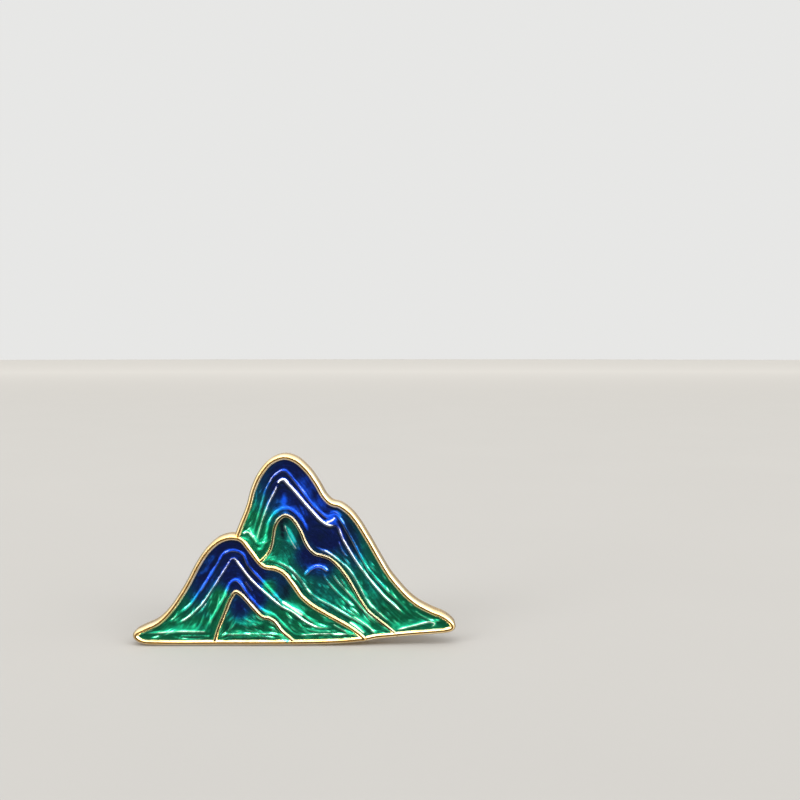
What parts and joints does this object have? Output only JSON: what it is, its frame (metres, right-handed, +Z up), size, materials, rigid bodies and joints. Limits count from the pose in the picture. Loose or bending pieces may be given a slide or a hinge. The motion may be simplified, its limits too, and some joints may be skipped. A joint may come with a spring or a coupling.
{
  "type": "enamel pin",
  "caption": "Mountain-shaped die-cast pin with coloured enamel fills, two needle posts on its back and a sprung butterfly clutch on each post.",
  "frame": {"origin": "on the smooth blank land on the casting's back, in the middle of its width and 11 mm above the lowest edge", "axes": "+X to the right as seen from the front, +Z up as worn, the enamel faces -Y, and the posts and clutches stand out along +Y"},
  "size_m": [0.0385, 0.0102, 0.0229],
  "materials": {
    "gold_plate": "polished",
    "needle_metal": "polished",
    "solder": "satin",
    "clutch_brass": "satin",
    "enamel_front_mountain": "gloss",
    "enamel_front_small_peak": "gloss",
    "enamel_back_mountain": "gloss",
    "enamel_back_inner_peak": "gloss"
  },
  "bodies": {
    "badge": {"base_casting": "gold_plate", "enamel_front_mountain": "enamel_front_mountain", "enamel_front_small_peak": "enamel_front_small_peak", "enamel_back_mountain": "enamel_back_mountain", "enamel_back_inner_peak": "enamel_back_inner_peak", "left_needle_post": "needle_metal", "left_solder_ring": "solder", "right_needle_post": "needle_metal", "right_solder_ring": "solder"},
    "left_clutch": {"left_clutch_cap": "clutch_brass", "left_clutch_spring_bridge": "clutch_brass"},
    "left_wing_a": {"left_clutch_wing_a": "clutch_brass"},
    "left_wing_b": {"left_clutch_wing_b": "clutch_brass"},
    "right_clutch": {"right_clutch_cap": "clutch_brass", "right_clutch_spring_bridge": "clutch_brass"},
    "right_wing_a": {"right_clutch_wing_a": "clutch_brass"},
    "right_wing_b": {"right_clutch_wing_b": "clutch_brass"}
  },
  "joints": [
    {"name": "left_clutch_pull", "type": "slide", "parent": "badge", "child": "left_clutch", "axis": [0, 1, 0], "range_m": [0, 0.008]},
    {"name": "left_wing_a_squeeze", "type": "hinge", "parent": "left_clutch", "child": "left_wing_a", "pos_m": [-0.0051, 0.004, -0.0025], "axis": [-0.7071, 0, 0.7071], "range_deg": [0, 12], "stiffness_Nm_per_rad": 0.02},
    {"name": "left_wing_b_squeeze", "type": "hinge", "parent": "left_clutch", "child": "left_wing_b", "pos_m": [-0.0109, 0.004, -0.0083], "axis": [0.7071, 0, -0.7071], "range_deg": [0, 12], "stiffness_Nm_per_rad": 0.02},
    {"name": "right_clutch_pull", "type": "slide", "parent": "badge", "child": "right_clutch", "axis": [0, 1, 0], "range_m": [0, 0.008]},
    {"name": "right_wing_a_squeeze", "type": "hinge", "parent": "right_clutch", "child": "right_wing_a", "pos_m": [0.0028, 0.004, -0.0025], "axis": [-0.7071, 0, -0.7071], "range_deg": [0, 12], "stiffness_Nm_per_rad": 0.02},
    {"name": "right_wing_b_squeeze", "type": "hinge", "parent": "right_clutch", "child": "right_wing_b", "pos_m": [0.0086, 0.004, -0.0083], "axis": [0.7071, 0, 0.7071], "range_deg": [0, 12], "stiffness_Nm_per_rad": 0.02}
  ]
}
